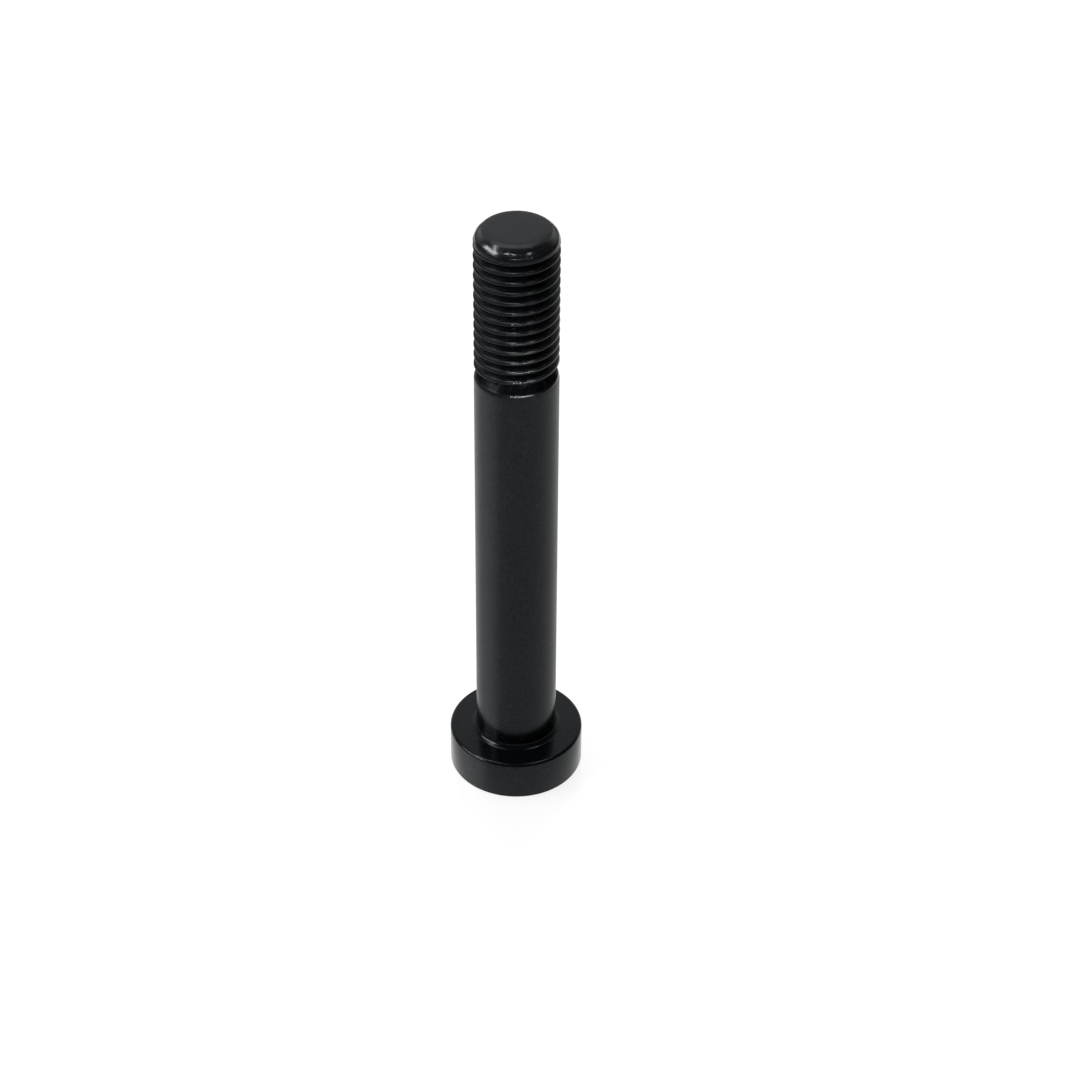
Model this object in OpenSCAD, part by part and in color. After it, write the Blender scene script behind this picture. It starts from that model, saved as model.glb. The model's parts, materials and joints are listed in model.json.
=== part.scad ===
// Round-head bolt with a plain shank, a coarse right-hand thread and a hex drive.
// One turned piece. It stands on the foot of its head, with the thread up along +Z,
// and its origin is the centre of the foot. Sizes are in millimetres.

/* [Head] */
// Diameter of the round head (1-1/4 in)
head_d = 31.75; // [28:0.25:45]
// Height of the head
head_h = 10.2; // [8:0.1:18]
// Radius of the rounded upper rim of the head
head_edge_r = 0.8; // [0.1:0.1:1.5]
// Radius of the rounded rim of its foot
foot_edge_r = 0.4; // [0.1:0.1:1.5]

/* [Shank] */
// Diameter of the shank, and of the thread over its crests (3/4 in)
shank_d = 19; // [15:0.25:22]
// Length from the seat under the head to the tip (about 5-1/2 in)
length = 140; // [70:0.1:250]
// Radius of the fillet between the seat and the shank
fillet_r = 1.4; // [0.2:0.05:2.5]
// Lean, in degrees from the axis, of the cone between the shank and the thread's root
shoulder_angle = 34; // [20:1:60]
// Radius of the rounded edge where the shank ends at that cone
shoulder_r = 1; // [0.1:0.05:2]

/* [Thread] */
// Distance from one crest to the next (10 to the inch)
pitch = 2.54; // [1.5:0.01:3.5]
// Length of the threaded end, from the plain shank to the tip
thread_len = 37.9; // [15:0.1:55]
// Width of the plain floor of the groove between the cone and the thread
groove_w = 0.2; // [0.2:0.1:3]
// Length over which the thread rises out of that groove to its full height
runout_len = 0.8; // [0.4:0.1:6]
// Size of the bevel round the tip, across the radius
tip_bevel = 1.5; // [0.5:0.05:3]
// Lean of that bevel, in degrees from the axis
tip_angle = 30; // [20:1:60]
// Radius of the rounded edge between that bevel and the face of the tip
tip_edge_r = 4; // [0.5:0.1:5]
// Length of the tip that the thread leaves plain
plain_tip = 3.4; // [0:0.1:6]
// Length over which the thread gets its full depth below that
runin_len = 1.2; // [0.4:0.1:4]
// Direction, in degrees from +X, in which the first crest reaches the height of the tip
thread_start = 48; // [0:1:359]

/* [Drive socket] */
// Width of the hex socket across its flats (1/2 in)
socket_af = 12.7; // [8:0.1:16]
// Depth of the socket
socket_depth = 6; // [3:0.1:7]
// Size of the 45 degree bevel round the mouth of the socket
socket_bevel = 0.5; // [0.1:0.1:1]

/* [Hidden] */
$fn = 96;

// Form of a 60 degree thread, as shares of the pitch
depth_per_pitch = 0.6134;
crest_per_pitch = 0.16;
flank_angle = 30;

head_r = head_d/2;
shank_r = shank_d/2;
total_h = head_h + length;
shoulder_z = total_h - thread_len;

thread_depth = depth_per_pitch*pitch;
root_r = shank_r - thread_depth;
flank_w = thread_depth*tan(flank_angle);
crest_w = crest_per_pitch*pitch;
groove_end_z = shoulder_z + thread_depth/tan(shoulder_angle) + groove_w;

// How far the blank reaches into the threaded end, and the thread into the blank
core_r = root_r/2;
lap = pitch;
// Height at which the uncut thread is capped, above the tip
cap_z = total_h + pitch/4;

// Columns of the thread's mesh round the bolt, and the rows of one turn:
// [height from the middle of the crest, radius]
columns = 48;
turn_rows = [
    [-crest_w/2 - flank_w, root_r],
    [-crest_w/2, shank_r],
    [crest_w/2, shank_r],
    [crest_w/2 + flank_w, root_r]
];
rows_per_turn = len(turn_rows);
turns = ceil(thread_len/pitch) + 2;
last_row = rows_per_turn*(turns + 2);
first_crest_z = total_h - pitch*(turns + thread_start/360);
// Rows nearer than this to the cap or the groove are merged into the end ring
merge_gap = pitch/40;

// Height of a row's point in a column, counted along the helix
function row_z(col, row) =
    first_crest_z + pitch*(col/columns + floor(row/rows_per_turn)) + turn_rows[row % rows_per_turn][0];

// Radius to which the thread has risen out of the run-out groove at a height
function risen_r(z) = root_r + thread_depth*max(0, z - groove_end_z)/runout_len;

// Radius that is kept uncut near the tip at a height
function kept_r(z) =
    root_r + thread_depth*min(1, max(0, z - total_h + plain_tip + runin_len)/runin_len);

function ring_point(r, col, z) = [r*cos(360*col/columns), r*sin(360*col/columns), z];

function row_point(col, row) =
    let (z = min(max(row_z(col, row), groove_end_z), cap_z))
    ring_point(max(min(turn_rows[row % rows_per_turn][1], risen_r(z)), kept_r(z)), col, z);

// Index of a row's point: one turn on, a column continues the row a turn higher
function point_index(col, row) =
    col == columns ? point_index(0, row + rows_per_turn)
    : row_z(col, row) < groove_end_z + merge_gap ? col
    : row_z(col, row) > cap_z - merge_gap ? columns + col
    : columns*(2 + row) + col;

function has_area(f) = f[0] != f[1] && f[1] != f[2] && f[2] != f[0];

// Half-section of the blank: head with rounded rims, fillet, shank, and the cone at its end
module half_section() {
    round_drop = shoulder_r*tan(shoulder_angle/2);
    hull() {
        square([1, head_h]);
        translate([head_r - foot_edge_r, foot_edge_r]) circle(foot_edge_r);
        translate([head_r - head_edge_r, head_h - head_edge_r]) circle(head_edge_r);
    }
    difference() {
        translate([0, head_h]) square([shank_r + fillet_r, fillet_r]);
        translate([shank_r + fillet_r, head_h + fillet_r]) circle(fillet_r);
    }
    polygon([
        [0, head_h], [shank_r, head_h], [shank_r, shoulder_z - round_drop],
        [shank_r - round_drop*sin(shoulder_angle), shoulder_z + round_drop*cos(shoulder_angle)],
        [core_r, shoulder_z + (shank_r - core_r)/tan(shoulder_angle)], [0, shoulder_z]
    ]);
    intersection() {
        translate([shank_r - shoulder_r, shoulder_z - round_drop]) circle(shoulder_r);
        square([shank_r, total_h]);
    }
}

// Half-section of the room for the thread: bevelled and rounded at the tip, and wider than the thread below
module tip_room() {
    clear = 1;
    tip_r = shank_r - tip_bevel;
    edge_reach = tip_edge_r*tan((90 - tip_angle)/2);
    intersection() {
        square([shank_r + clear, total_h]);
        hull() {
            translate([tip_r - edge_reach, total_h - tip_edge_r]) circle(tip_edge_r);
            polygon([
                [0, head_h], [shank_r + clear, head_h],
                [shank_r + clear, total_h - (tip_bevel + clear)/tan(tip_angle)], [0, total_h]
            ]);
        }
    }
}

// Helical surface from the groove beside the shank to a cap above the tip
module uncut_thread() {
    points = concat(
        [for (col = [0:columns-1]) ring_point(root_r, col, shoulder_z - lap)],
        [for (col = [0:columns-1]) ring_point(root_r, col, cap_z)],
        [for (row = [0:last_row]) for (col = [0:columns-1]) row_point(col, row)]
    );
    sides = [
        for (row = [0:last_row - rows_per_turn - 1]) for (col = [0:columns-1])
            let (
                a = point_index(col, row), b = point_index(col + 1, row),
                c = point_index(col + 1, row + 1), d = point_index(col, row + 1)
            )
            for (f = [[a, c, b], [a, d, c]]) if (has_area(f)) f
    ];
    foot = [for (col = [0:columns-1]) col];
    cap = [for (col = [columns-1:-1:0]) columns + col];
    polyhedron(points, concat(sides, [foot, cap]), convexity = 10);
}

module threaded_end() {
    intersection() {
        uncut_thread();
        rotate_extrude() tip_room();
    }
}

// Hex socket in the foot of the head, with a bevelled mouth
module drive_socket() {
    corner_r = socket_af/2/cos(30);
    past = 1;
    translate([0, 0, -past]) cylinder(h = socket_depth + past, r = corner_r, $fn = 6);
    translate([0, 0, -past])
        cylinder(h = past + socket_bevel, r1 = corner_r + socket_bevel + past, r2 = corner_r);
}

module bolt() {
    color("#2b2b2d")
        difference() {
            union() {
                rotate_extrude() half_section();
                threaded_end();
            }
            drive_socket();
        }
}

bolt();
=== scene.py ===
"""Round-head bolt: its turned and threaded mesh, its black coating and the studio it stands in."""

import json
import math
from typing import NamedTuple

import bmesh
import bpy
from bpy.props import FloatProperty, FloatVectorProperty, IntProperty, PointerProperty
from mathutils import Matrix, Quaternion, Vector


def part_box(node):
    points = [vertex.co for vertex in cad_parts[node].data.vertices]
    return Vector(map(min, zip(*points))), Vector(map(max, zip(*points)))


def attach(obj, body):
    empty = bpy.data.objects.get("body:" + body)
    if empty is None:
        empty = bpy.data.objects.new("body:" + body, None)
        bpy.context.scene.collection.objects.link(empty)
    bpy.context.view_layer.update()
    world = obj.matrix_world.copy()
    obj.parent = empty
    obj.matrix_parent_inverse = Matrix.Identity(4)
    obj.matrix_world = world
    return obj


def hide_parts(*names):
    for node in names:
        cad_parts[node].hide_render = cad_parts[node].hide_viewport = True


bl_info = {
    "name": "Round-head Bolt",
    "version": (1, 0, 0),
    "blender": (4, 5, 0),
    "location": "View3D > Sidebar > Bolt",
    "description": "Turns, threads and coats a round-head bolt, and sets up its studio",
    "category": "Add Mesh",
}

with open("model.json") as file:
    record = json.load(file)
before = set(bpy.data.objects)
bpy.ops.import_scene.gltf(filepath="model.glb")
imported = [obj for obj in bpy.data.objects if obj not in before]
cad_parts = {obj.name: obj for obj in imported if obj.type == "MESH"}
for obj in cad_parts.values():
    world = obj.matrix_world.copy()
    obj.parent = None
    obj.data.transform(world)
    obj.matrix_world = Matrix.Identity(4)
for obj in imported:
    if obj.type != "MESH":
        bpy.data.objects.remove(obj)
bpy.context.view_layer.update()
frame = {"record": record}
CAD_LOW, CAD_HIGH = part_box("bolt")
MOUNTS = {mount["name"]: mount for mount in frame["record"]["mounts"]}

# Lengths are in metres
MM = 0.001
PHOTO_SIDE_PX = 1080
SENSOR_MM = 36.0

# Sizes that the solid fixes: head, shank and where the thread begins
HEAD_R = (CAD_HIGH[0] - CAD_LOW[0]) / 2
HEAD_H = MOUNTS["seat"]["pos_m"][2]
TOTAL_H = CAD_HIGH[2]
SHANK_R = MOUNTS["shank"]["dims"]["r_mm"] * MM
SHANK_LOW = MOUNTS["shank"]["pos_m"][2] - MOUNTS["shank"]["dims"]["length_mm"] * MM / 2
SHANK_HIGH = MOUNTS["shank"]["pos_m"][2] + MOUNTS["shank"]["dims"]["length_mm"] * MM / 2
FILLET_R = SHANK_LOW - HEAD_H
SHOULDER_Z = TOTAL_H - MOUNTS["thread"]["dims"]["length_mm"] * MM

# Form of a 60 degree thread, as shares of the pitch
DEPTH_PER_PITCH = 0.6134
CREST_PER_PITCH = 0.24
FLANK = math.radians(30)

# Roundings of the thread's section, as shares of half a crest and of half the root's floor
LOWER_ROUND = 0.35
UPPER_ROUND = 1.6
ROOT_ROUND = 0.9

# Where the thread's mesh meets the shank's, up the cone, and the tip's, as a share of the root's radius
CONE_SHARE = 0.6
RIM_SHARE = 0.94

MERGE = 1e-6
SMOOTH_ANGLE = math.radians(35)

# Heights and radii between which the finish changes
FACE_BAND = (TOTAL_H - 0.75 * MM, TOTAL_H - 0.4 * MM)
BEVEL_BAND = (TOTAL_H - 3 * MM, TOTAL_H - 2.5 * MM)
RUB_BAND = (SHOULDER_Z + 2 * MM, TOTAL_H - 8 * MM)
RUNOUT_TOP_BAND = (SHOULDER_Z + 2.3 * MM, SHOULDER_Z + 2.8 * MM)
RUNOUT_FOOT_BAND = (SHOULDER_Z + 0.4 * MM, SHOULDER_Z + 0.8 * MM)
THREAD_BAND = (SHANK_HIGH, SHOULDER_Z)
HEAD_BAND = (SHANK_LOW, SHANK_LOW + 14 * MM)
CREST_BAND = (SHANK_R - 0.4 * MM, SHANK_R - 0.2 * MM)

# Slopes of the surface between which it counts as a crest's upper edge, and as worn
EDGE_FOOT_BAND = (0.1, 0.25)
EDGE_TOP_BAND = (0.7, 0.85)
WORN_BAND = (-0.4, -0.08)

# Grain of the coating
GRAIN_SIZE = 0.35 * MM
GRAIN_ROUGH = 0.06
GRAIN_HEIGHT = 0.02 * MM
GRAIN_STRENGTH = 0.08
MOTTLE_SIZE = 0.6 * MM
MOTTLE_BAND = (0.4, 0.65)
CLOUD_SIZE = 6 * MM
CLOUD_ROUGH = 0.08
CREST_ROUGH = 0.25
RUB_FADE = 0.8

# Floor and sky
WHITE = (1, 1, 1, 1)
FLOOR_SIDE = 12
FLOOR_GAP = 0.02 * MM
TABLE_EDGE_BAND = (0.5, 0.9)
TABLE_TONE = (0.9, 0.9, 0.9, 1)
FAR_TONE = (0.04, 0.04, 0.04, 1)
SHADOW_SHARE = 0.15
SHEEN_TONE = (0.09, 0.09, 0.09, 1)
SHEEN_ROUGH = 0.28
SKY_BACK_BAND = (0.2, 0.8)
SKY_HIGH_BAND = (-0.2, 0.45)


class BoltSizes(bpy.types.PropertyGroup):
    """Sizes of the bolt that the solid's box and mounts don't give."""

    rim_round: FloatProperty(
        name="Rim round", description="Radius of the head's upper rim", default=0.8 * MM, unit="LENGTH"
    )
    foot_round: FloatProperty(
        name="Foot round", description="Radius of the head's lower rim", default=0.4 * MM, unit="LENGTH"
    )
    pitch: FloatProperty(
        name="Pitch", description="Distance from crest to crest", default=2.54 * MM, unit="LENGTH"
    )
    thread_start: FloatProperty(
        name="Thread start",
        description="Direction from +X in which the first crest reaches the tip",
        default=math.radians(48),
        subtype="ANGLE",
    )
    shoulder_angle: FloatProperty(
        name="Shoulder angle",
        description="Lean of the cone between the shank and the thread's root",
        default=math.radians(34),
        subtype="ANGLE",
    )
    shoulder_round: FloatProperty(
        name="Shoulder round",
        description="Reach of the rounded edge at the end of the shank",
        default=0.7 * MM,
        unit="LENGTH",
    )
    runout: FloatProperty(
        name="Run-out", description="Length over which the thread rises", default=0.8 * MM, unit="LENGTH"
    )
    tip_bevel: FloatProperty(
        name="Tip bevel", description="Size of the bevel round the tip", default=1.5 * MM, unit="LENGTH"
    )
    tip_angle: FloatProperty(
        name="Tip angle",
        description="Lean of that bevel from the axis",
        default=math.radians(30),
        subtype="ANGLE",
    )
    tip_round: FloatProperty(
        name="Tip round", description="Radius of the edge of the tip's face", default=4 * MM, unit="LENGTH"
    )
    plain_tip: FloatProperty(
        name="Plain tip", description="Length of the tip without a thread", default=3.4 * MM, unit="LENGTH"
    )
    runin: FloatProperty(
        name="Run-in", description="Length over which the thread deepens", default=1.2 * MM, unit="LENGTH"
    )
    soft_edge: FloatProperty(
        name="Soft edge",
        description="Blend between the thread and the bevel that cuts it",
        default=0.5 * MM,
        unit="LENGTH",
    )
    root_blend: FloatProperty(
        name="Root blend",
        description="Blend between the cone and the thread's root",
        default=0.12 * MM,
        unit="LENGTH",
    )
    socket_flats: FloatProperty(
        name="Socket", description="Hex socket across its flats", default=12.7 * MM, unit="LENGTH"
    )
    socket_depth: FloatProperty(
        name="Socket depth", description="Depth of the hex socket", default=6 * MM, unit="LENGTH"
    )
    socket_bevel: FloatProperty(
        name="Socket bevel", description="Bevel round the socket's mouth", default=0.5 * MM, unit="LENGTH"
    )
    columns: IntProperty(name="Columns", description="Steps round the bolt", default=144, min=24)


class BoltFinish(bpy.types.PropertyGroup):
    """Colour and gloss of the black coating."""

    coat: FloatVectorProperty(
        name="Coat", description="Colour of the coating", default=(0.0008, 0.0011, 0.0014), subtype="COLOR"
    )
    coat_pale: FloatVectorProperty(
        name="Pale coat",
        description="Colour where it is thin",
        default=(0.0034, 0.0042, 0.0052),
        subtype="COLOR",
    )
    tip_coat: FloatVectorProperty(
        name="Tip coat",
        description="Colour of the tip's face",
        default=(0.0085, 0.0090, 0.0100),
        subtype="COLOR",
    )
    specular: FloatProperty(name="Specular", description="Specular level of the coating", default=0.165)
    sheen_tint: FloatVectorProperty(
        name="Sheen tint", description="Tint of the reflections", default=(0.84, 0.93, 1.0), subtype="COLOR"
    )
    thread_gloss: FloatProperty(name="Thread gloss", description="Oil gloss on the crests", default=1.0)
    bevel_gloss: FloatProperty(name="Bevel gloss", description="Oil gloss on the tip's bevel", default=0.75)
    film_gloss: FloatProperty(name="Film gloss", description="Patchy oil film all over", default=0.11)
    gloss_rough: FloatProperty(name="Gloss roughness", description="Roughness of the oil gloss", default=0.2)
    shank_rough: FloatProperty(name="Shank", description="Roughness of the shank", default=0.34)
    thread_rough: FloatProperty(name="Thread", description="Roughness of the thread", default=0.26)
    bevel_rough: FloatProperty(name="Bevel", description="Roughness of the tip's bevel", default=0.11)
    runout_dull: FloatProperty(name="Run-out", description="Dullness of the thread's run-out", default=0.75)
    crest_dull: FloatProperty(name="Crests", description="Dullness of the unworn crests", default=0.5)
    head_rough: FloatProperty(name="Head", description="Roughness of the head", default=0.17)
    tip_rough: FloatProperty(name="Tip", description="Roughness of the tip's face", default=0.42)


class BoltStage(bpy.types.PropertyGroup):
    """Camera and light, as in the photograph."""

    distance: FloatProperty(
        name="Distance", description="Camera to aim point", default=680.4 * MM, unit="LENGTH"
    )
    elevation: FloatProperty(
        name="Elevation",
        description="Camera above the horizon",
        default=math.radians(37.873),
        subtype="ANGLE",
    )
    aim_height: FloatProperty(
        name="Aim", description="Height that the camera looks at", default=65.86 * MM, unit="LENGTH"
    )
    focal_px: FloatProperty(
        name="Focal length", description="Focal length in the photograph's pixels", default=2953
    )
    axis_px: FloatProperty(
        name="Axis", description="Column of the photograph that holds the bolt's axis", default=516.4
    )
    roll: FloatProperty(
        name="Roll", description="Lean of the camera", default=math.radians(0.09), subtype="ANGLE"
    )
    sky_back: FloatProperty(name="Back", description="Strength of the sky behind the bolt", default=0.9)
    sky_front: FloatProperty(
        name="Front", description="Strength of the sky on the camera's side", default=0.1
    )


def deselect_all():
    """Object mode with nothing selected."""
    if bpy.context.mode != "OBJECT":
        bpy.ops.object.mode_set(mode="OBJECT")
    bpy.ops.object.select_all(action="DESELECT")


def edit(obj):
    """Edit mode on one object, with nothing selected in it."""
    deselect_all()
    obj.select_set(True)
    bpy.context.view_layer.objects.active = obj
    bpy.ops.object.mode_set(mode="EDIT")
    bpy.ops.mesh.select_mode(type="VERT")
    bpy.ops.mesh.select_all(action="DESELECT")


def pick_verts(obj, wanted):
    """Select the vertices for which wanted(vertex) holds."""
    mesh = bmesh.from_edit_mesh(obj.data)
    bpy.ops.mesh.select_mode(type="VERT")
    found = 0
    for vert in mesh.verts:
        vert.select = bool(wanted(vert))
        found += vert.select
    mesh.select_flush_mode()
    bmesh.update_edit_mesh(obj.data)
    if not found:
        raise RuntimeError("no vertex of " + obj.name + " is where the next step needs it")


def pick_rims(obj, wanted):
    """Select the open edges whose middle satisfies wanted(point)."""
    mesh = bmesh.from_edit_mesh(obj.data)
    bpy.ops.mesh.select_mode(type="EDGE")
    found = 0
    for edge in mesh.edges:
        edge.select = edge.is_boundary and wanted((edge.verts[0].co + edge.verts[1].co) / 2)
        found += edge.select
    mesh.select_flush_mode()
    bmesh.update_edit_mesh(obj.data)
    if not found:
        raise RuntimeError("no open edge of " + obj.name + " is where the next step needs it")


def draw_chain(name, points, rounds=()):
    """An object that is a chain of edges in the XZ plane, with some corners rounded.

    points are (radius, height) pairs, and rounds are (index of a corner, reach along its edges, segments).
    """
    deselect_all()
    bpy.ops.mesh.primitive_plane_add(size=MM)
    obj = bpy.context.object
    obj.name = name
    bpy.ops.object.mode_set(mode="EDIT")
    bpy.ops.mesh.select_all(action="SELECT")
    bpy.ops.mesh.merge(type="CENTER")
    spots = [Vector((r, 0, z)) for r, z in points]
    bpy.ops.transform.translate(value=spots[0])
    for here, there in zip(spots, spots[1:]):
        bpy.ops.mesh.extrude_region_move(TRANSFORM_OT_translate={"value": there - here})
    for corner, reach, segments in rounds:
        pick_verts(obj, lambda vert: (vert.co - spots[corner]).length < MERGE)
        bpy.ops.mesh.bevel(
            offset=reach, offset_type="OFFSET", segments=segments, profile=0.5, affect="VERTICES"
        )
    bpy.ops.object.mode_set(mode="OBJECT")
    return obj


def apply_modifier(obj, kind, **settings):
    """Add a modifier with these settings and apply it."""
    deselect_all()
    obj.select_set(True)
    bpy.context.view_layer.objects.active = obj
    modifier = obj.modifiers.new(kind.title(), kind)
    for name, value in settings.items():
        setattr(modifier, name, value)
    bpy.ops.object.modifier_apply(modifier=modifier.name)


def soft_min(a, b, reach):
    """The smaller of two lengths, rounded where they are about equal."""
    share = max(reach - abs(a - b), 0) / reach
    return min(a, b) - share * share * reach / 4


def soft_max(a, b, reach):
    """The larger of two lengths, rounded where they are about equal."""
    return -soft_min(-a, -b, reach)


class Thread:
    """Derived sizes of the thread."""

    def __init__(self, sizes):
        self.pitch = sizes.pitch
        self.depth = DEPTH_PER_PITCH * sizes.pitch
        self.root_r = SHANK_R - self.depth
        self.crest_w = CREST_PER_PITCH * sizes.pitch
        self.flank_w = self.depth * math.tan(FLANK)
        self.cone_lean = math.tan(sizes.shoulder_angle)
        self.cone_z = SHOULDER_Z + self.depth / self.cone_lean
        self.low_z = SHOULDER_Z + CONE_SHARE * (self.cone_z - SHOULDER_Z)
        self.runout = sizes.runout
        self.runin = sizes.runin
        self.runin_z = TOTAL_H - sizes.plain_tip - sizes.runin
        self.tip_r = SHANK_R - sizes.tip_bevel
        self.tip_lean = math.tan(sizes.tip_angle)
        self.tip_round = sizes.tip_round
        edge_reach = sizes.tip_round * math.tan((math.pi / 2 - sizes.tip_angle) / 2)
        self.face_r = self.tip_r - edge_reach
        self.bevel_z = TOTAL_H - edge_reach * math.cos(sizes.tip_angle)
        self.rim_lean = math.asin((RIM_SHARE * self.root_r - self.face_r) / sizes.tip_round)
        self.rim_z = TOTAL_H - sizes.tip_round * (1 - math.cos(self.rim_lean))
        self.turns = math.ceil((TOTAL_H - SHOULDER_Z) / sizes.pitch) + 2
        self.first_crest = TOTAL_H - sizes.pitch * (self.turns + sizes.thread_start / math.tau)

    def tip_room(self, z):
        """Radius that the tip's bevel and rounded edge leave at a height."""
        if z < self.bevel_z:
            return self.tip_r + (TOTAL_H - z) * self.tip_lean
        drop = self.tip_round - (TOTAL_H - z)
        return self.face_r + math.sqrt(self.tip_round**2 - drop**2)

    def cone_r(self, z):
        """Radius of the cone between the shank and the thread's root at a height."""
        return SHANK_R - (z - SHOULDER_Z) * self.cone_lean

    def runout_r(self, z):
        """Radius to which the thread has risen above that cone at a height."""
        return self.root_r + self.depth * max(0, z - self.cone_z) / self.runout

    def kept_r(self, z):
        """Radius below which the plain tip isn't cut at a height."""
        return self.root_r + self.depth * min(1, max(0, z - self.runin_z) / self.runin)


def turn_blank(sizes, thread):
    """Head, fillet, shank and shoulder, spun from their half-section, open at the groove."""
    section = [
        (0, 0),
        (HEAD_R, 0),
        (HEAD_R, HEAD_H),
        (SHANK_R, HEAD_H),
        (SHANK_R, SHOULDER_Z),
        (thread.cone_r(thread.low_z), thread.low_z),
    ]
    rounds = [
        (1, sizes.foot_round, 5),
        (2, sizes.rim_round, 8),
        (3, FILLET_R, 12),
        (4, sizes.shoulder_round, 10),
    ]
    blank = draw_chain("bolt_body", section, rounds)
    edit(blank)
    bpy.ops.mesh.select_all(action="SELECT")
    bpy.ops.mesh.spin(steps=sizes.columns, angle=math.tau, center=(0, 0, 0), axis=(0, 0, 1))
    bpy.ops.mesh.select_all(action="SELECT")
    bpy.ops.mesh.remove_doubles(threshold=MERGE)
    bpy.ops.object.mode_set(mode="OBJECT")
    return blank


def cut_thread(sizes, thread):
    """The helical thread, cut back by the run-out groove and the tip's bevel, open at both ends."""
    half_crest = thread.crest_w / 2
    half_pitch = thread.pitch / 2
    root_edge = half_crest + thread.flank_w
    start = thread.first_crest
    section = [
        (thread.root_r, start - half_pitch),
        (thread.root_r, start - root_edge),
        (SHANK_R, start - half_crest),
        (SHANK_R, start + half_crest),
        (thread.root_r, start + root_edge),
        (thread.root_r, start + half_pitch),
    ]
    root_reach = ROOT_ROUND * (half_pitch - root_edge)
    lower_reach = LOWER_ROUND * half_crest
    upper_reach = UPPER_ROUND * half_crest
    rounds = [(1, root_reach, 3), (2, lower_reach, 4), (3, upper_reach, 8), (4, root_reach, 3)]
    helix = draw_chain("thread", section, rounds)
    apply_modifier(
        helix,
        "SCREW",
        axis="Z",
        angle=math.tau,
        screw_offset=thread.pitch,
        iterations=thread.turns + 1,
        steps=sizes.columns,
        render_steps=sizes.columns,
        use_merge_vertices=False,
    )
    for vert in helix.data.vertices:
        r = math.hypot(vert.co.x, vert.co.y)
        z = min(max(vert.co.z, thread.low_z), thread.rim_z)
        if z == thread.low_z:
            new_r = thread.cone_r(z)
        elif z == thread.rim_z:
            new_r = thread.tip_room(z)
        else:
            new_r = max(min(r, thread.runout_r(z)), thread.kept_r(z))
            new_r = soft_max(new_r, thread.cone_r(z), sizes.root_blend)
            new_r = soft_min(new_r, thread.tip_room(z), sizes.soft_edge)
        vert.co = Vector((vert.co.x * new_r / r, vert.co.y * new_r / r, z))
    edit(helix)
    bpy.ops.mesh.select_all(action="SELECT")
    bpy.ops.mesh.remove_doubles(threshold=MERGE)
    bpy.ops.mesh.select_all(action="SELECT")
    bpy.ops.mesh.delete_loose()
    bpy.ops.object.mode_set(mode="OBJECT")
    return helix


def join_thread(blank, helix):
    """Bring the thread into the blank's mesh, where their open rings meet."""
    deselect_all()
    helix.select_set(True)
    blank.select_set(True)
    bpy.context.view_layer.objects.active = blank
    bpy.ops.object.join()
    edit(blank)
    bpy.ops.mesh.select_all(action="SELECT")
    bpy.ops.mesh.remove_doubles(threshold=MERGE)
    bpy.ops.object.mode_set(mode="OBJECT")


def close_tip(blank, sizes, thread):
    """Round the rim of the tip ring by ring, and close its flat face."""
    edit(blank)
    pick_rims(blank, lambda p: abs(p.z - thread.rim_z) < MERGE)
    steps = 6
    r = thread.tip_room(thread.rim_z)
    z = thread.rim_z
    for step in range(1, steps + 1):
        lean = thread.rim_lean * (1 - step / steps)
        next_r = thread.face_r + sizes.tip_round * math.sin(lean)
        next_z = TOTAL_H - sizes.tip_round * (1 - math.cos(lean))
        bpy.ops.mesh.extrude_edges_move(TRANSFORM_OT_translate={"value": (0, 0, next_z - z)})
        bpy.ops.transform.resize(value=(next_r / r, next_r / r, 1), center_override=(0, 0, next_z))
        r, z = next_r, next_z
    bpy.ops.mesh.edge_face_add()
    bpy.ops.object.mode_set(mode="OBJECT")


def cut_socket(blank, sizes):
    """Cut the hex socket and its bevelled mouth out of the foot of the head."""
    corner_r = sizes.socket_flats / 2 / math.cos(math.pi / 6)
    past = MM
    deselect_all()
    bpy.ops.mesh.primitive_cylinder_add(
        vertices=6,
        radius=corner_r,
        depth=sizes.socket_depth + past,
        location=(0, 0, (sizes.socket_depth - past) / 2),
        rotation=(0, 0, math.radians(30)),
    )
    hexagon = bpy.context.object
    bpy.ops.mesh.primitive_cone_add(
        vertices=sizes.columns,
        radius1=corner_r + sizes.socket_bevel + past,
        radius2=corner_r,
        depth=sizes.socket_bevel + past,
        location=(0, 0, (sizes.socket_bevel - past) / 2),
    )
    mouth = bpy.context.object
    for cutter in (hexagon, mouth):
        apply_modifier(blank, "BOOLEAN", operation="DIFFERENCE", object=cutter, solver="EXACT")
    deselect_all()
    hexagon.select_set(True)
    mouth.select_set(True)
    bpy.ops.object.delete()
    edit(blank)
    pick_verts(blank, lambda vert: abs(vert.co.z - sizes.socket_depth) < MERGE)
    bpy.ops.object.mode_set(mode="OBJECT")


def face_outwards(obj):
    """Merge doubles and turn every face of a closed mesh outwards."""
    edit(obj)
    bpy.ops.mesh.select_all(action="SELECT")
    bpy.ops.mesh.remove_doubles(threshold=MERGE)
    bpy.ops.mesh.select_all(action="SELECT")
    bpy.ops.mesh.normals_make_consistent(inside=False)
    bpy.ops.object.mode_set(mode="OBJECT")


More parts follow.
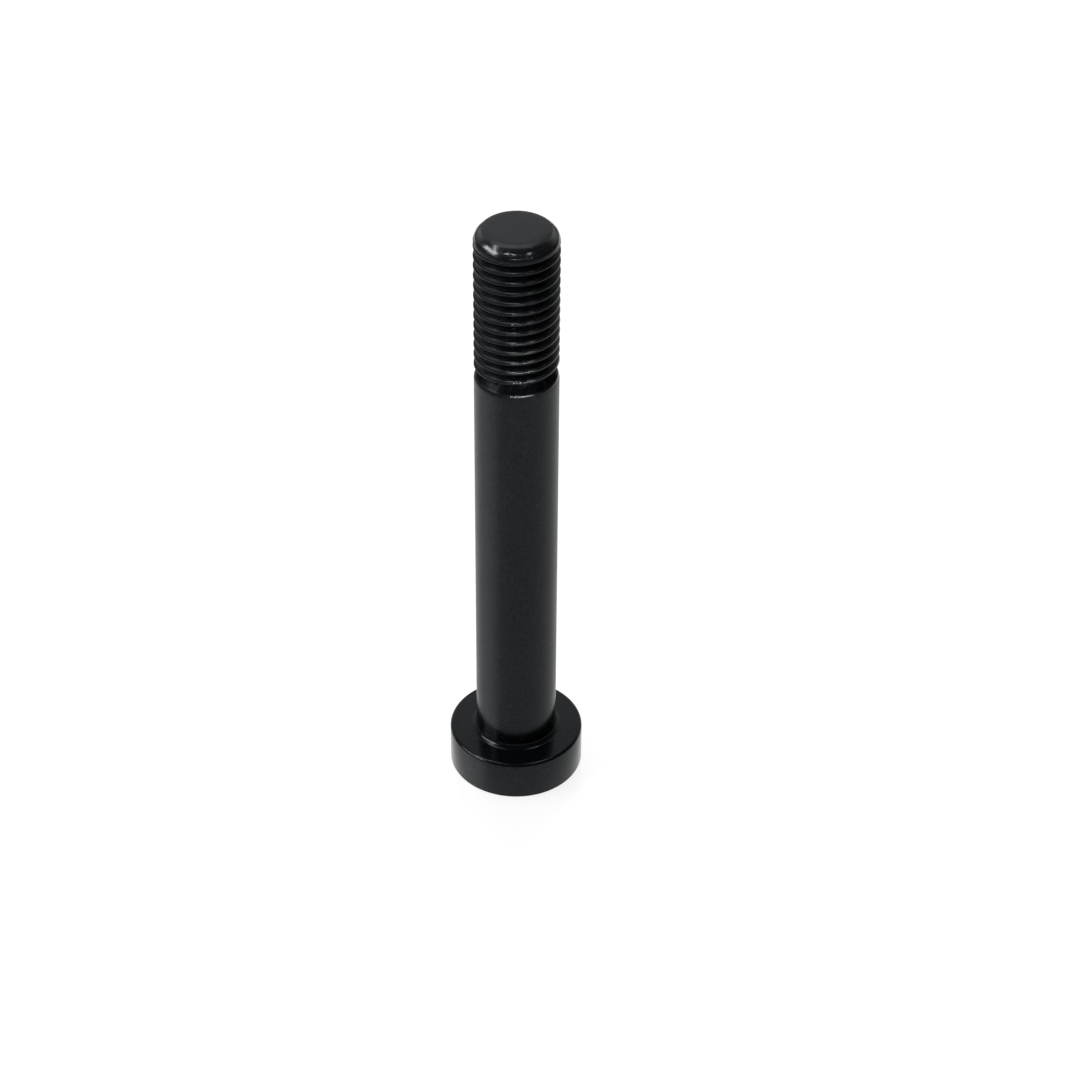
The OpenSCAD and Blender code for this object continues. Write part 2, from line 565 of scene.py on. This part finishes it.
class Value:
    """A shader socket on which Python arithmetic adds Math nodes."""

    def __init__(self, sheet, socket):
        self.sheet = sheet
        self.socket = socket

    def math(self, operation, *values):
        return self.sheet.node("ShaderNodeMath", {"operation": operation}, values)

    def __add__(self, other):
        return self.math("ADD", self, other)

    def __sub__(self, other):
        return self.math("SUBTRACT", self, other)

    def __rsub__(self, other):
        return self.math("SUBTRACT", other, self)

    def __mul__(self, other):
        return self.math("MULTIPLY", self, other)

    __radd__ = __add__
    __rmul__ = __mul__

    def root(self):
        return self.math("SQRT", self)

    def maximum(self, other):
        return self.math("MAXIMUM", self, other)

    def out(self, name):
        """Another output of the same node."""
        return Value(self.sheet, self.socket.node.outputs[name])


class ShaderSheet:
    """The node tree of one material or world."""

    def __init__(self, owner):
        owner.use_nodes = True
        self.tree = owner.node_tree
        self.tree.nodes.clear()

    def node(self, kind, settings=None, inputs=(), output=0):
        """Add a node, set it up, feed its sockets and return one output.

        settings are the node's attributes, and inputs is a sequence or a dict by name.
        """
        node = self.tree.nodes.new(kind)
        for name, value in (settings or {}).items():
            setattr(node, name, value)
        pairs = inputs.items() if isinstance(inputs, dict) else enumerate(inputs)
        for name, value in pairs:
            if isinstance(value, Value):
                self.tree.links.new(value.socket, node.inputs[name])
            else:
                node.inputs[name].default_value = value
        return Value(self, node.outputs[output]) if len(node.outputs) else node

    def ramp(self, value, low, high):
        """0 below low, 1 above high, with a smooth rise between."""
        return self.node(
            "ShaderNodeMapRange",
            {"interpolation_type": "SMOOTHSTEP"},
            {"Value": value, "From Min": low, "From Max": high},
        )

    def noise(self, place, grain, detail, roughness):
        """Noise about 0.5 with features of about that size, in metres."""
        return self.node(
            "ShaderNodeTexNoise",
            {"noise_dimensions": "3D"},
            {"Vector": place, "Scale": 1 / grain, "Detail": detail, "Roughness": roughness},
        )

    def mix_color(self, share, first, second):
        """A colour between two, by share."""
        return self.node(
            "ShaderNodeMix",
            {"data_type": "RGBA"},
            {"Factor": share, 6: first, 7: second},
            output=2,
        )


def black_coat(finish):
    """Black coated steel: satin on the shank, glossier on the thread and the head."""
    material = bpy.data.materials.new("black_coated_steel")
    sheet = ShaderSheet(material)
    place = sheet.node("ShaderNodeTexCoord", output="Object")
    x = sheet.node("ShaderNodeSeparateXYZ", None, (place,), output="X")
    y, z = x.out("Y"), x.out("Z")
    r = (x * x + y * y).root()

    on_thread = sheet.ramp(z, *THREAD_BAND)
    on_tip = sheet.ramp(z, *FACE_BAND)
    on_bevel = sheet.ramp(z, *BEVEL_BAND)
    in_runout = sheet.ramp(z, *RUNOUT_FOOT_BAND) * (1 - sheet.ramp(z, *RUNOUT_TOP_BAND))
    off_head = sheet.ramp(z, *HEAD_BAND)
    grain = sheet.noise(place, GRAIN_SIZE, detail=4, roughness=0.6)
    cloud = sheet.noise(place, CLOUD_SIZE, detail=3, roughness=0.5)
    mottle = sheet.ramp(sheet.noise(place, MOTTLE_SIZE, detail=5, roughness=0.7), *MOTTLE_BAND)

    lean = sheet.node("ShaderNodeSeparateXYZ", None, (place.out("Normal"),), output="X")
    rise = lean.out("Z")
    on_edge = sheet.ramp(rise, *EDGE_FOOT_BAND) * (1 - sheet.ramp(rise, *EDGE_TOP_BAND))
    on_crest = on_edge * sheet.ramp(r, *CREST_BAND)
    worn = sheet.ramp(lean, *WORN_BAND)
    unworn_crest = on_thread * on_crest * (1 - worn)
    rubbed = worn - RUB_FADE * worn * sheet.ramp(z, *RUB_BAND)

    rough = finish.head_rough + off_head * (finish.shank_rough - finish.head_rough)
    rough = rough + on_thread * (finish.thread_rough - finish.shank_rough)
    rough = rough + unworn_crest * CREST_ROUGH
    rough = rough + on_bevel * (finish.bevel_rough - finish.thread_rough)
    rough = rough + on_tip * (finish.tip_rough - finish.bevel_rough)
    rough = rough + (cloud - 0.5) * CLOUD_ROUGH + (grain - 0.5) * GRAIN_ROUGH

    color = sheet.mix_color(mottle, (*finish.coat, 1), (*finish.coat_pale, 1))
    color = sheet.mix_color(on_tip, color, (*finish.tip_coat, 1))
    crest_gloss = on_crest * rubbed * finish.thread_gloss
    gloss = on_thread * (crest_gloss * (1 - on_bevel) + on_bevel * (1 - on_tip) * finish.bevel_gloss)
    gloss = gloss + mottle * finish.film_gloss
    bump = sheet.node(
        "ShaderNodeBump",
        None,
        {"Strength": GRAIN_STRENGTH, "Distance": GRAIN_HEIGHT, "Height": grain},
    )
    shader = sheet.node(
        "ShaderNodeBsdfPrincipled",
        None,
        {
            "Base Color": color,
            "Roughness": rough,
            "Specular IOR Level": finish.specular,
            "Specular Tint": (*finish.sheen_tint, 1),
            "Normal": bump,
            "Coat Weight": gloss,
            "Coat Roughness": finish.gloss_rough,
        },
    )
    dull = sheet.node("ShaderNodeBsdfDiffuse", None, {"Color": color})
    dullness = in_runout * finish.runout_dull + unworn_crest * finish.crest_dull
    shader = sheet.node("ShaderNodeMixShader", None, (dullness, shader, dull))
    sheet.node("ShaderNodeOutputMaterial", None, {"Surface": shader})
    return material


class BOLT_OT_make_bolt(bpy.types.Operator):
    """Turn, thread, bore and coat the bolt in place of its solid"""

    bl_idname = "bolt.make_bolt"
    bl_label = "Make the Bolt"

    def execute(self, context):
        sizes = context.scene.bolt_sizes
        thread = Thread(sizes)
        bolt = turn_blank(sizes, thread)
        join_thread(bolt, cut_thread(sizes, thread))
        close_tip(bolt, sizes, thread)
        face_outwards(bolt)
        cut_socket(bolt, sizes)
        face_outwards(bolt)
        bpy.ops.object.shade_smooth_by_angle(angle=SMOOTH_ANGLE)
        bolt.data.materials.clear()
        bolt.data.materials.append(black_coat(context.scene.bolt_finish))
        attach(bolt, "root")
        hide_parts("bolt")
        return {"FINISHED"}


def white_floor():
    """A white table that keeps a soft shadow, on a wide floor that only the camera sees as white."""
    deselect_all()
    bpy.ops.mesh.primitive_plane_add(size=FLOOR_SIDE, location=(0, 0, -FLOOR_GAP))
    floor = bpy.context.object
    floor.name = "floor"
    material = bpy.data.materials.new("white_floor")
    sheet = ShaderSheet(material)
    place = sheet.node("ShaderNodeTexCoord", output="Object")
    across = sheet.node("ShaderNodeVectorMath", {"operation": "LENGTH"}, (place,), output="Value")
    far = sheet.ramp(across, *TABLE_EDGE_BAND)
    tone = sheet.mix_color(far, TABLE_TONE, FAR_TONE)
    paint = sheet.node("ShaderNodeBsdfDiffuse", None, {"Color": tone})
    glow = sheet.node("ShaderNodeEmission", None, {"Color": WHITE, "Strength": 1.0})
    camera = sheet.node("ShaderNodeLightPath", output="Is Camera Ray")
    mirrored = camera.out("Is Glossy Ray").maximum(camera.out("Is Transmission Ray")) * (1 - far)
    share = camera.maximum(mirrored) * (1 - SHADOW_SHARE + SHADOW_SHARE * far)
    white = sheet.node("ShaderNodeMixShader", None, (share, paint, glow))
    sheen = sheet.node("ShaderNodeBsdfGlossy", None, {"Color": SHEEN_TONE, "Roughness": SHEEN_ROUGH})
    shader = sheet.node("ShaderNodeAddShader", None, (white, sheen))
    sheet.node("ShaderNodeOutputMaterial", None, {"Surface": shader})
    floor.data.materials.append(material)


def studio_sky(front, back):
    """Surroundings that are white behind the bolt and dim on the camera's side."""
    world = bpy.data.worlds.new("studio_sky")
    bpy.context.scene.world = world
    sheet = ShaderSheet(world)
    way = sheet.node("ShaderNodeTexCoord", output="Generated")
    depth = sheet.node("ShaderNodeSeparateXYZ", None, (way,), output="Y")
    behind = sheet.ramp(depth, *SKY_BACK_BAND) * sheet.ramp(depth.out("Z"), *SKY_HIGH_BAND)
    dim, bright = (
        sheet.node("ShaderNodeBackground", None, {"Color": WHITE, "Strength": strength})
        for strength in (front, back)
    )
    sky = sheet.node("ShaderNodeMixShader", None, (behind, dim, bright))
    sheet.node("ShaderNodeOutputWorld", None, {"Surface": sky})


class Lamp(NamedTuple):
    """An area lamp that faces the bolt, with its place and size in degrees as seen from there."""

    name: str
    azimuth: float
    elevation: float
    wide: float
    tall: float
    radiance: float
    roll: float = 0
    beam: float = 180
    distance: float = 1.2
    aim_z: float = TOTAL_H


# Azimuths are from the camera's side, positive to the right
LAMPS = [
    Lamp("window_left", -78, 27, 38, 22, 9.5),
    Lamp("strip_left", -83, 50, 5, 68, 10, roll=48),
    Lamp("spot_left", -31, 46, 9, 12, 50, beam=10, distance=0.4),
    Lamp("spot_centre", -12, 46, 9, 12, 50, beam=10, distance=0.4),
    Lamp("spot_right", 38, 42, 8, 10, 18, beam=10, distance=0.4),
    Lamp("overhead", 0, 104, 40, 16, 6.5),
]
LAMPS += [
    Lamp("grid_" + name, azimuth, 12, 12, 4, 140, beam=5, distance=0.8, aim_z=SHOULDER_Z - 11 * MM)
    for name, azimuth in zip("abcdef", range(-13, 40, 10))
]


def softbox(lamp):
    """Add one of the lamps, at a power that gives it its radiance."""
    side, up = math.radians(lamp.azimuth), math.radians(lamp.elevation)
    way = Vector((math.sin(side) * math.cos(up), -math.cos(side) * math.cos(up), math.sin(up)))
    turn = way.to_track_quat("Z", "Y") @ Quaternion((0, 0, 1), math.radians(lamp.roll))
    deselect_all()
    bpy.ops.object.light_add(
        type="AREA",
        location=Vector((0, 0, lamp.aim_z)) + way * lamp.distance,
        rotation=turn.to_euler(),
    )
    light = bpy.context.object
    light.name = lamp.name
    light.data.shape = "RECTANGLE"
    light.data.size = 2 * lamp.distance * math.tan(math.radians(lamp.wide / 2))
    light.data.size_y = 2 * lamp.distance * math.tan(math.radians(lamp.tall / 2))
    light.data.spread = math.radians(lamp.beam)
    half = light.data.spread / 2
    narrow = (math.tan(half) - half) / math.tan(half) if lamp.beam < 180 else 1
    light.data.energy = lamp.radiance * math.pi * light.data.size * light.data.size_y * narrow


def photo_camera(stage):
    """The camera at the photograph's angle and framing."""
    away = Vector((0, -math.cos(stage.elevation), math.sin(stage.elevation))) * stage.distance
    pose = Matrix.Rotation(math.pi / 2 - stage.elevation, 3, "X") @ Matrix.Rotation(stage.roll, 3, "Z")
    deselect_all()
    bpy.ops.object.camera_add(
        location=Vector((0, 0, stage.aim_height)) + away, rotation=pose.to_euler()
    )
    camera = bpy.context.object
    camera.name = "photo_camera"
    camera.data.sensor_width = SENSOR_MM
    camera.data.lens = stage.focal_px / PHOTO_SIDE_PX * SENSOR_MM
    camera.data.shift_x = 0.5 - stage.axis_px / PHOTO_SIDE_PX
    camera.data.clip_start = 10 * MM
    bpy.context.scene.camera = camera


class BOLT_OT_make_stage(bpy.types.Operator):
    """Set up the floor, the light and the camera"""

    bl_idname = "bolt.make_stage"
    bl_label = "Make the Stage"

    def execute(self, context):
        stage = context.scene.bolt_stage
        context.scene.view_settings.view_transform = "Standard"
        white_floor()
        studio_sky(stage.sky_front, stage.sky_back)
        for lamp in LAMPS:
            softbox(lamp)
        photo_camera(stage)
        return {"FINISHED"}


class BOLT_PT_panel(bpy.types.Panel):
    """Sidebar panel with the bolt's steps"""

    bl_idname = "BOLT_PT_panel"
    bl_label = "Round-head Bolt"
    bl_space_type = "VIEW_3D"
    bl_region_type = "UI"
    bl_category = "Bolt"

    def draw(self, context):
        layout = self.layout
        for group in (context.scene.bolt_sizes, context.scene.bolt_finish, context.scene.bolt_stage):
            box = layout.box()
            for name in group.__annotations__:
                box.prop(group, name)
        layout.operator(BOLT_OT_make_bolt.bl_idname)
        layout.operator(BOLT_OT_make_stage.bl_idname)


CLASSES = (BoltSizes, BoltFinish, BoltStage, BOLT_OT_make_bolt, BOLT_OT_make_stage, BOLT_PT_panel)


def register():
    for cls in CLASSES:
        bpy.utils.register_class(cls)
    bpy.types.Scene.bolt_sizes = PointerProperty(type=BoltSizes)
    bpy.types.Scene.bolt_finish = PointerProperty(type=BoltFinish)
    bpy.types.Scene.bolt_stage = PointerProperty(type=BoltStage)


def unregister():
    del bpy.types.Scene.bolt_stage
    del bpy.types.Scene.bolt_finish
    del bpy.types.Scene.bolt_sizes
    for cls in reversed(CLASSES):
        bpy.utils.unregister_class(cls)


def main():
    register()
    bpy.ops.bolt.make_bolt()
    bpy.ops.bolt.make_stage()


if __name__ == "__main__":
    main()
